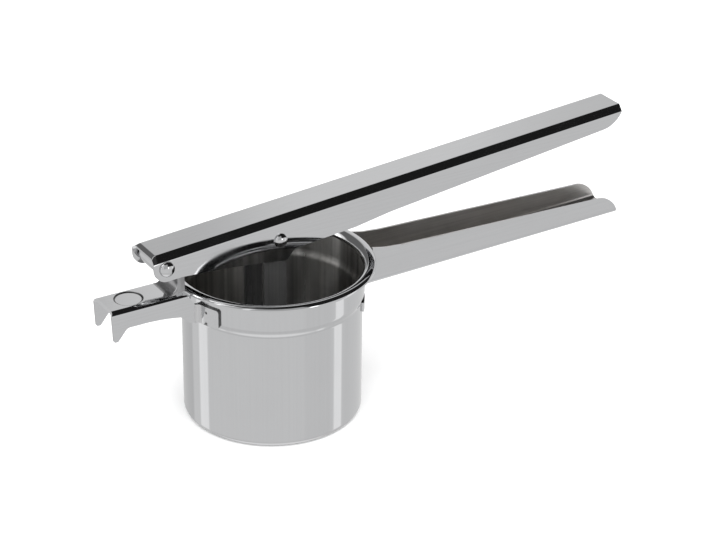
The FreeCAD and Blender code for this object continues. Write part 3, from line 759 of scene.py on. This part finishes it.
            # The middle of the soft edge is painted dark: painted shade of the recess's slope.
            if self.recess_steps / 4 < step <= 3 * self.recess_steps / 4:
                for face in (item for item in grown if isinstance(item, bmesh.types.BMFace)):
                    face.material_index = self.WELD_AND_SHADE
            verts = list({vert for edge in ring for vert in edge.verts})
            shrink = radius / last_radius
            bmesh.ops.scale(shape, vec=(shrink, shrink, 1.0), verts=verts, space=Matrix.Translation(-middle))
            bmesh.ops.translate(shape, vec=(0, 0, last_depth - depth), verts=verts)
            last_radius, last_depth = radius, depth
        bmesh.ops.edgeloop_fill(shape, edges=ring)
        bmesh.ops.recalc_face_normals(shape, faces=shape.faces)

    def mark_tabs(self, shape: bmesh.types.BMesh) -> None:
        """Give the tabs' sheet edges a painted shadow of their gap to the cup, and the spot welds their dark
        weld marks.

        Args:
            shape: The hook's mesh.
        """
        for face in shape.faces:
            middle = face.calc_center_median()
            out = middle.xy.length
            in_tab = self.tab_inside < out < self.tab_radius - WELD and abs(middle.y) > self.half_width
            upright = abs(face.normal.xy.dot(middle.xy)) > self.facing * out
            weld = out > self.tab_inside + self.weld_depth and face.calc_area() < self.weld_facet
            # A tab's sheet edges get painted shadow of the gap to the cup; the welds get their own dark
            # marks.
            if in_tab and (weld or not upright):
                face.material_index = self.WELD_AND_SHADE

    def build(self) -> None:
        """Dress the hook and the post."""
        hook = self.copy("nose_bracket")
        self.soften_recess(hook)
        self.mark_tabs(hook)
        self.round_root(hook)
        finishes = [self.bracket, self.weld_and_shade, self.root]
        self.finish(hook, "nose_bracket_piece", "frame", ["nose_bracket"], finishes)
        self.finish(self.copy("pivot_post"), "pivot_post_piece", "frame", ["pivot_post"], [self.post])


@dataclass
class Grip(Assembly):
    """The fixed grip and the plate that seats it on the cup.

    Attributes:
        start: Where the open channel starts along X.
        half_width: Half of the channel's width.
        sheet: Thickness of the sheet.
        depth: How deep under the outer side a face has to lie to be within, as a share of the sheet.
        facing: How far a face has to turn inwards to belong to the inside.
        grip: Finish of the outside.
        inside: Finish within the channel.
        saddle: Finish of the plate.
    """

    start: float = 50.0 * MM
    half_width: float = 11.5 * MM
    sheet: float = 1.5 * MM
    depth: float = 0.9
    facing: float = 0.3
    grip: SteelFinish = SteelFinish("grip_polish", "bracket_steel")
    inside: SteelFinish = SteelFinish(
        "grip_inside", "bracket_steel", tint=(0.625, 0.61, 0.595), roughness=0.34, smudge=0.12,
        line_pitch=0.7 * MM, line_depth=0.003 * MM, line_shade=0.25)
    saddle: SteelFinish = SteelFinish("saddle_polish", "bracket_steel", grain=Grain.UPRIGHT)

    def build(self) -> None:
        """Dress the grip, satin within its channel, and its saddle."""
        grip = self.copy("lower_handle")
        for face in grip.faces:
            middle = face.calc_center_median()
            within = abs(middle.y) < self.half_width - self.depth * self.sheet
            inward = face.normal.z > self.facing or face.normal.y * middle.y < -self.facing * abs(middle.y)
            face.material_index = int(middle.x > self.start and within and inward)
        self.finish(grip, "lower_handle_piece", "frame", ["lower_handle"], [self.grip, self.inside])
        saddle = self.copy("handle_saddle")
        self.finish(saddle, "handle_saddle_piece", "frame", ["handle_saddle"], [self.saddle])


@dataclass(frozen=True)
class Rivet:
    """A rivet laid across the press, with a domed head at each end.

    Attributes:
        shank: Radius of its shank.
        head: Radius of its heads.
        height: Height of its heads.
        half_grip: Half of the width that it holds.
        fullness: Power of the dome's outline, 2 for an ellipse and more for a fuller one.
        steps: Number of the outline's chords on a head.
        turn_steps: Steps of the full turn.
    """

    shank: float
    head: float
    height: float
    half_grip: float = 11.5 * MM
    fullness: float = 2.1
    steps: int = 14
    turn_steps: int = 48

    def outline(self, middle: Vector) -> list[Vector]:
        """Return the outline from one head's top to the other's, in the plane of X and Y.

        Args:
            middle: The rivet's middle.

        Returns:
            The points to spin about the line through the middle along Y.
        """
        points = []
        for step in range(self.steps + 1):
            turn = math.radians(90 * step / self.steps)
            out = self.head * math.sin(turn) ** (2 / self.fullness)
            rise = self.height * math.cos(turn) ** (2 / self.fullness)
            points.append(Vector((out, -self.half_grip - rise, 0.0)))
        points.append(Vector((self.shank, -self.half_grip, 0.0)))
        mirrored = [Vector((point.x, -point.y, 0.0)) for point in reversed(points)]
        return [middle + point for point in points + mirrored]


@dataclass
class Lever(Assembly):
    """The upper lever, a channel folded from sheet, with its two rivets and the barrel it turns on.

    Places on the channel are (along, 0, up) from the pivot, with the channel level.

    Attributes:
        pivot: Middle of the pivot rivet.
        pin: Middle of the plunger's rivet.
        rest_angle: Angle in degrees by which the lever rises at rest.
        half_width: Half of the width over the walls.
        sheet: Thickness of the sheet.
        roof: Height of the roof over the pivot.
        shoulder_in: Width of the facet between roof and wall.
        shoulder_drop: Its drop.
        fold_run: How far a fold's round reaches from its corner.
        fold_share: Share of a side that the round may take of it at the most.
        fold_steps: Number of its chords.
        splay: How far a wall leans out for each unit down.
        ear: Radius of the walls' round end before the pivot.
        roll_start: Where the roof starts to roll down, ahead of the pivot.
        roll_end: Where it ends.
        roll: Radius of that roll.
        heel: Where the lower edge leaves the ear.
        neck_arc: Radius of its long bow from there.
        keel: Its lowest corner.
        keel_round: Round of that corner.
        step: Corner where the edge has stepped up.
        step_round: Round of that corner.
        belly: Where the belly ends.
        grip: Where the grip starts.
        tail: Where the grip ends.
        tail_round: Radius of the tail's bow up to the tip.
        tip: Lower corner of the tip.
        length: Length from the pivot to the roof's end.
        ear_steps: Number of chords of the ear's round.
        neck_steps: Number of chords of the neck's bow.
        keel_steps: Number of chords of the keel's round.
        step_steps: Number of chords of the step's round.
        grip_steps: Number of stretches of the grip.
        tail_steps: Number of chords of the tail's bow.
        pivot_rivet: Sizes of the pivot rivet.
        pin_rivet: Sizes of the plunger's rivet.
        channel: Finish of the channel.
        rivet: Finish of both rivets.
        barrel: Finish of the barrel.
    """

    pivot: Vector
    pin: Vector
    rest_angle: float = 4.17
    half_width: float = 11.5 * MM
    sheet: float = 1.2 * MM
    roof: float = 6.58 * MM
    shoulder_in: float = 3.5 * MM
    shoulder_drop: float = 2.6 * MM
    fold_run: float = 0.85 * MM
    fold_share: float = 0.45
    fold_steps: int = 4
    splay: float = 0.028
    ear: float = 6.4 * MM
    roll_start: float = 2.9 * MM
    roll_end: float = 5.6 * MM
    roll: float = 4.6 * MM
    heel: tuple[float, float] = (7.0 * MM, -6.5 * MM)
    neck_arc: float = 526.0 * MM
    keel: tuple[float, float] = (62.6 * MM, -16.0 * MM)
    keel_round: float = 1.5 * MM
    step: tuple[float, float] = (67.4 * MM, -11.1 * MM)
    step_round: float = 4.0 * MM
    belly: tuple[float, float] = (101.5 * MM, -10.75 * MM)
    grip: tuple[float, float] = (121.0 * MM, -8.85 * MM)
    tail: tuple[float, float] = (251.0 * MM, -3.0 * MM)
    tail_round: float = 15.0 * MM
    tip: tuple[float, float] = (261.8 * MM, 3.4 * MM)
    length: float = 263.0 * MM
    ear_steps: int = 12
    neck_steps: int = 8
    keel_steps: int = 4
    step_steps: int = 6
    grip_steps: int = 4
    tail_steps: int = 12
    pivot_rivet: Rivet = Rivet(shank=2.5 * MM, head=3.9 * MM, height=2.9 * MM)
    pin_rivet: Rivet = Rivet(shank=2.2 * MM, head=3.55 * MM, height=2.7 * MM)
    channel: SteelFinish = SteelFinish("lever_polish", "lever_steel")
    rivet: SteelFinish = SteelFinish("rivet_polish", "rivet_steel", roughness=0.05, ripple_depth=0.0,
                                     line_shade=0.02)
    barrel: SteelFinish = SteelFinish("barrel_polish", "rivet_steel", roughness=0.09, ripple_depth=0.0,
                                      grain=Grain.CROSSWISE)

    def lower_edge(self) -> list[Vector]:
        """Return the wall's lower edge from the ear's front to the tip.

        Returns:
            The points, of which each is a station of the channel too.
        """
        heel, keel, step, belly, grip, tail, tip = (
            Vector((along, 0.0, up))
            for along, up in (self.heel, self.keel, self.step, self.belly, self.grip, self.tail, self.tip))
        return [
            *arc(Vector(), self.ear, 180, 270, self.ear_steps),
            *bowed(heel, keel, self.neck_arc, self.neck_steps)[:-1],
            *rounded(heel, keel, step, self.keel_round, self.keel_steps),
            *rounded(keel, step, belly, self.step_round, self.step_steps),
            belly,
            *straight(grip, tail, self.grip_steps),
            *bowed(tail, tip, -self.tail_round, self.tail_steps),
            tip,
        ]

    def section(self, low: Vector) -> list[Vector]:
        """Return the sheet's section at one station as a loop, the outer side first.

        Ahead of the pivot the roof rolls down, and it ends before the ears do.

        Args:
            low: The station's point of the lower edge.

        Returns:
            The loop, which runs over the outside from the near wall to the far one and back inside.
        """
        ahead = min(max((-low.x - self.roll_start) / (self.ear - self.roll_start), 0.0), 1.0)
        past = ahead * (self.roll_end - self.roll_start)
        drop = self.roll - math.sqrt(self.roll ** 2 - past ** 2)
        edge = low.x if ahead == 0 else -self.roll_start - past
        shoulder = self.roof - self.shoulder_drop
        at_tip = low.x > self.tip[0] - WELD
        rake = (self.length - self.tip[0]) / (self.roof - self.tip[1]) if at_tip else 0.0
        near = [
            Vector((low.x, -self.half_width - self.splay * (shoulder - low.z), low.z)),
            Vector((low.x + rake * (shoulder - low.z), -self.half_width, shoulder)),
            Vector((edge + rake * (self.roof - low.z), self.shoulder_in - self.half_width,
                    self.roof - drop)),
        ]
        outer = self.folded(near + [Vector((point.x, -point.y, point.z)) for point in reversed(near)])
        return outer + self.inner(outer)[::-1]

    def folded(self, corners: list[Vector]) -> list[Vector]:
        """Return a section with a soft fold for each of its corners.

        Args:
            corners: The section's ends and the corners between them.

        Returns:
            The softened section.
        """
        points = [corners[0]]
        for before, corner, after in zip(corners, corners[1:], corners[2:]):
            back, on = before - corner, after - corner
            run = min(self.fold_run, self.fold_share * min(back.length, on.length))
            start, end = corner + back.normalized() * run, corner + on.normalized() * run
            shares = (step / self.fold_steps for step in range(self.fold_steps + 1))
            points += [start.lerp(corner, share).lerp(corner.lerp(end, share), share) for share in shares]
        return [*points, corners[-1]]

    def inner(self, outer: list[Vector]) -> list[Vector]:
        """Set a section's outer side in by the sheet, mitred at each of its points.

        Args:
            outer: The outer side.

        Returns:
            The inner side, with as many points.
        """
        ways = [after - before for before, after in zip(outer, outer[1:])]
        inward = [Vector((0.0, way.z, -way.y)).normalized() for way in ways]
        beside = zip(outer, [inward[0], *inward], [*inward, inward[-1]])
        return [point + (left + right) * (self.sheet / (1 + left.dot(right)))
                for point, left, right in beside]

    def sheet_channel(self) -> bmesh.types.BMesh:
        """Fold the channel and bring it to its rest angle.

        Returns:
            The closed channel.
        """
        shape = bmesh.new()
        stations = [self.section(low) for low in self.lower_edge()]
        row = [shape.verts.new(point) for point in stations[0]]
        front = row
        for places in stations[1:]:
            loop = [shape.edges.get(pair) or shape.edges.new(pair) for pair in zip(row, row[1:] + row[:1])]
            grown = bmesh.ops.extrude_edge_only(shape, edges=loop)["geom"]
            fresh = {item for item in grown if isinstance(item, bmesh.types.BMVert)}
            row = [next(other for edge in vert.link_edges if (other := edge.other_vert(vert)) in fresh)
                   for vert in row]
            for vert, place in zip(row, places):
                vert.co = place
        for end in (front, row):
            half = len(end) // 2
            sides = [*zip(end[:half], end[1:half]), *zip(end[half:], end[half + 1:])]
            bmesh.ops.bridge_loops(shape, edges=[shape.edges.get(pair) for pair in sides])
        bmesh.ops.recalc_face_normals(shape, faces=shape.faces)
        tilt = Matrix.Translation(self.pivot) @ Matrix.Rotation(math.radians(-self.rest_angle), 4, "Y")
        bmesh.ops.transform(shape, matrix=tilt, verts=shape.verts)
        return shape

    def build(self) -> None:
        """Dress the channel, its rivets and the barrel."""
        self.finish(self.sheet_channel(), "upper_lever_piece", "lever", ["upper_lever"], [self.channel])
        for name, middle, rivet in (
                ("pivot_rivet", self.pivot, self.pivot_rivet),
                ("plunger_rivet", self.pin, self.pin_rivet)):
            turned = self.spun(rivet.outline(middle), ACROSS, rivet.turn_steps, middle=middle)
            bmesh.ops.recalc_face_normals(turned, faces=turned.faces)
            self.finish(turned, f"{name}_piece", "lever", [name], [self.rivet])
        barrel = self.copy("pivot_barrel")
        self.finish(barrel, "pivot_barrel_piece", "frame", ["pivot_barrel"], [self.barrel])


@dataclass
class Plunger(Assembly):
    """The yoke, its spacer, the disc and the rivets between them.

    Attributes:
        yoke: Finish of the yoke.
        disc: Finish of the disc.
        rivet: Finish of the spacer and the small rivets.
    """

    yoke: SteelFinish = SteelFinish(
        "yoke_brushed", "plunger_steel", roughness=0.16, grain=Grain.UPRIGHT, line_pitch=1.1 * MM,
        line_depth=0.01 * MM, line_shade=0.4, anisotropy=0.5, turn=0.25, metal=0.93)
    disc: SteelFinish = SteelFinish("disc_polish", "plunger_steel", roughness=0.12)
    rivet: SteelFinish = SteelFinish("small_rivet_polish", "rivet_steel", roughness=0.1, ripple_depth=0.0)

    def build(self) -> None:
        """Dress the plunger's pieces."""
        for node, finish in (("plunger_yoke", self.yoke), ("plunger_spacer", self.rivet),
                             ("plunger_disc", self.disc), ("yoke_rivets", self.rivet)):
            self.finish(self.copy(node), f"{node}_piece", "plunger", [node], [finish])


@dataclass(frozen=True)
class Patch:
    """A soft-edged patch of the surroundings, in degrees of azimuth and elevation.

    Attributes:
        azimuth: Its left and right edge, counted from +X towards +Y.
        elevation: Its lower and upper edge.
        level: Its brightness.
        soft: Width of its edges.
    """

    azimuth: tuple[float, float]
    elevation: tuple[float, float]
    level: float
    soft: float = 5.0

    def over(self, under: "Signal | float", turn: Signal, height: Signal) -> Signal:
        """Lay the patch over what is there already.

        Args:
            under: The brightness below the patch.
            turn: Azimuth of the direction looked in.
            height: Its elevation.

        Returns:
            The brightness with the patch.
        """
        middle = sum(self.azimuth) / 2
        half = (self.azimuth[1] - self.azimuth[0]) / 2
        beside = (turn - middle).math("WRAP", 180.0, -180.0)
        mask = beside.band(-half, half, self.soft) * height.band(*self.elevation, self.soft)
        return under + (self.level - under) * mask


@dataclass
class Studio:
    """The floor, the light, the surroundings that the steel mirrors, and the camera.

    Attributes:
        azimuth: Angle in degrees from +Y towards +X that the camera looks along.
        elevation: Angle in degrees that it looks down.
        roll: Its roll in degrees.
        distance: Its distance from the target.
        target: The point that it looks at.
        lens: Its focal length in millimetres.
        sensor: The width of its sensor in millimetres.
        depth: How far it sees.
        floor_size: Width of the floor.
        floor_shade: Colour of the floor.
        lamp_size: Width of the lamp.
        lamp_power: Power of the lamp in watts.
        lamp_place: Where it hangs.
        tent: Brightness of the tent all round.
        overhead: Edges of the dark card overhead, in degrees from +Z towards +Y.
        overhead_soft: Width of these edges.
        overhead_side: Where the card fades in along X.
        overhead_level: Its brightness.
        patches: Patches on the tent, each over the ones before.
        strips: Light strips and the dark ceiling, over the patches and under the card.
    """

    azimuth: float = 31.683
    elevation: float = 27.317
    roll: float = 0.675
    distance: float = 1136.71 * MM
    target: tuple[float, float, float] = (48.9 * MM, 0.0, 60.63 * MM)
    lens: float = 115.38
    sensor: float = 36.0
    depth: float = 20.0
    floor_size: float = 6.0
    floor_shade: float = 0.92
    lamp_size: float = 2.4
    lamp_power: float = 44.0
    lamp_place: tuple[float, float, float] = (-0.3, -0.6, 1.8)
    tent: float = 0.825
    overhead: tuple[float, float] = (-64.5, 40.0)
    overhead_soft: float = 5.0
    overhead_side: tuple[float, float] = (0.1, 0.22)
    overhead_level: float = 0.015
    patches: tuple[Patch, ...] = (
        Patch((58.0, 118.0), (-70.0, -5.0), 0.66, 6.0),
        Patch((282.0, 322.0), (-70.0, -5.0), 0.79, 6.0),
        Patch((344.0, 416.0), (-70.0, -5.0), 0.78, 10.0),
        Patch((133.5, 150.0), (-60.0, 36.0), 1.13, 3.0),
        Patch((326.0, 340.0), (-60.0, 36.0), 1.13, 3.0),
        Patch((0.0, 359.9), (-56.0, -37.0), 0.74, 8.0),
        Patch((0.0, 359.9), (-90.0, -62.0), 1.05, 8.0),
        Patch((65.0, 80.0), (22.0, 42.0), 0.68, 5.0),
        Patch((57.5, 64.5), (20.0, 46.0), 0.87, 5.0),
        Patch((47.0, 57.0), (22.0, 42.0), 0.76, 4.0),
        Patch((76.0, 139.0), (5.0, 52.0), 0.17, 8.0),
    )
    strips: tuple[Patch, ...] = (
        Patch((160.0, 282.0), (8.0, 62.0), 0.55, 8.0),
        Patch((209.0, 217.0), (8.0, 62.0), 1.2, 3.0),
        Patch((178.0, 185.0), (8.0, 62.0), 1.9, 3.0),
        Patch((281.0, 290.0), (2.0, 26.0), 3.0, 3.0),
        Patch((148.0, 158.0), (2.0, 62.0), 2.8, 4.0),
        Patch((0.0, 359.9), (65.0, 91.0), 0.05, 8.0),
    )

    def build(self) -> None:
        """Build all of it."""
        self.camera()
        self.floor()
        self.lamps()
        self.surroundings()

    def camera(self) -> None:
        """Place the camera where the photograph was taken from."""
        turn, tip, roll = (math.radians(angle) for angle in (self.azimuth, self.elevation, self.roll))
        ahead = Vector((math.sin(turn) * math.cos(tip), math.cos(turn) * math.cos(tip), -math.sin(tip)))
        right = Vector((math.cos(turn), -math.sin(turn), 0.0))
        up = right.cross(ahead)
        rolled_right = right * math.cos(roll) + up * math.sin(roll)
        rolled_up = up * math.cos(roll) - right * math.sin(roll)
        data = bpy.data.cameras.new("camera")
        data.sensor_fit = "HORIZONTAL"
        data.sensor_width = self.sensor
        data.lens = self.lens
        data.clip_end = self.depth
        camera = bpy.data.objects.new("camera", data)
        place = Matrix((rolled_right, rolled_up, -ahead)).transposed().to_4x4()
        place.translation = Vector(self.target) - ahead * self.distance
        camera.matrix_world = place
        bpy.context.scene.collection.objects.link(camera)
        bpy.context.scene.camera = camera

    def floor(self) -> None:
        """Lay a pale floor that keeps the shadow, and is clear to the steel's mirroring and from below."""
        shape = bmesh.new()
        bmesh.ops.create_grid(shape, x_segments=1, y_segments=1, size=self.floor_size / 2)
        mesh = bpy.data.meshes.new("floor")
        shape.to_mesh(mesh)
        shape.free()
        floor = bpy.data.objects.new("floor", mesh)
        bpy.context.scene.collection.objects.link(floor)
        material = bpy.data.materials.new("pale_floor")
        material.use_nodes = True
        nodes = Nodes(material.node_tree)
        below = nodes.add("ShaderNodeNewGeometry").outputs["Backfacing"]
        hidden = nodes.signal("ShaderNodeLightPath", "Is Glossy Ray").math("MAXIMUM", Signal(nodes, below))
        pale = nodes.add("ShaderNodeBsdfDiffuse", None, Color=(*[self.floor_shade] * 3, 1.0))
        open_air = nodes.add("ShaderNodeBsdfTransparent")
        mixed = nodes.add("ShaderNodeMixShader", None, i0=hidden,
                          i1=pale.outputs[0], i2=open_air.outputs[0])
        nodes.add("ShaderNodeOutputMaterial", None, Surface=mixed.outputs[0])
        mesh.materials.append(material)

    def lamps(self) -> None:
        """Hang one wide soft lamp over the press. The steel mirrors the surroundings instead."""
        data = bpy.data.lights.new("overhead_softbox", "AREA")
        data.shape = "SQUARE"
        data.size = self.lamp_size
        data.energy = self.lamp_power
        lamp = bpy.data.objects.new("overhead_softbox", data)
        lamp.location = self.lamp_place
        lamp.rotation_euler = (-Vector(self.lamp_place)).to_track_quat("-Z", "Y").to_euler()
        lamp.visible_glossy = False
        bpy.context.scene.collection.objects.link(lamp)

    def surroundings(self) -> None:
        """Give the world a pale tent with dark cards and light strips, which only the steel mirrors."""
        world = bpy.data.worlds.new("studio")
        bpy.context.scene.world = world
        world.use_nodes = True
        nodes = Nodes(world.node_tree)
        path = nodes.add("ShaderNodeLightPath")
        way = nodes.add("ShaderNodeTexCoord").outputs["Generated"]
        split = nodes.add("ShaderNodeSeparateXYZ", None, Vector=way)
        x, y, z = (Signal(nodes, split.outputs[name]) for name in "XYZ")
        degrees = 180 / math.pi
        turn = y.math("ARCTAN2", x) * degrees
        height = z.math("ARCSINE") * degrees
        seen = self.tent
        for patch in self.patches + self.strips:
            seen = patch.over(seen, turn, height)
        across = y.math("ARCTAN2", z) * degrees
        card = across.band(*self.overhead, self.overhead_soft) * x.rise(*self.overhead_side)
        seen = seen + (self.overhead_level - seen) * card
        mirrored = nodes.add("ShaderNodeBackground", None, Color=(1.0, 1.0, 1.0, 1.0), Strength=seen)
        ambient = nodes.add("ShaderNodeBackground", None, Color=(1.0, 1.0, 1.0, 1.0), Strength=1.0)
        both = nodes.add("ShaderNodeMixShader", None, i0=path.outputs["Is Glossy Ray"],
                         i1=ambient.outputs[0], i2=mirrored.outputs[0])
        nodes.add("ShaderNodeOutputWorld", None, Surface=both.outputs[0])


def corners(box: tuple[Vector, Vector]) -> list[list[float]]:
    """Return a box as plain lists of numbers."""
    return [list(box[0]), list(box[1])]


def main() -> None:
    """Dress the press and light it."""
    logging.basicConfig(level=logging.INFO, format="%(name)s: %(message)s")
    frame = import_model()
    bpy.context.scene.view_settings.view_transform = "Standard"
    Studio().build()
    steel = Steel()
    cad = frame["nodes"]
    places = {joint["name"]: Vector(joint["pos_m"]) for joint in frame["record"]["behaviour"]["joints"]}
    Cup(steel, cad).build()
    PotHook(steel, cad).build()
    Grip(steel, cad).build()
    Lever(steel, cad, places["lever_hinge"], places["plunger_hinge"]).build()
    Plunger(steel, cad).build()


if __name__ == "__main__":
    main()
